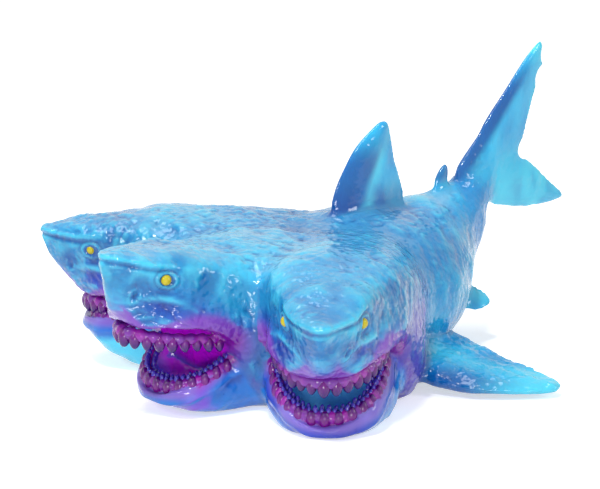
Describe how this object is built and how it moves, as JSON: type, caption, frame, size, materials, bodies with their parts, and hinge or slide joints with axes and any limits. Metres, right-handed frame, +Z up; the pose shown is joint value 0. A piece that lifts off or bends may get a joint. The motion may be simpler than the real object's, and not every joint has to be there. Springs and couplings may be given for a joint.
{
  "type": "shark figurine",
  "caption": "Glossy clear blue vinyl figurine of a many-headed shark with open toothy jaws, lying on its belly with its tail raised; a display piece that stands on a flat surface.",
  "frame": {"origin": "middle of the bounding box's base, on the surface the figurine rests on", "axes": "+Z up, the middle head faces -Y, the tail points to +Y, the shark's left is +X"},
  "size_m": [0.16, 0.2228, 0.1042],
  "materials": {
    "shark_figurine": "glossy clear blue vinyl, with magenta gums, plum teeth and yellow eyes painted on"
  },
  "bodies": {
    "root": {"shark_figurine": "shark_figurine"}
  },
  "joints": []
}
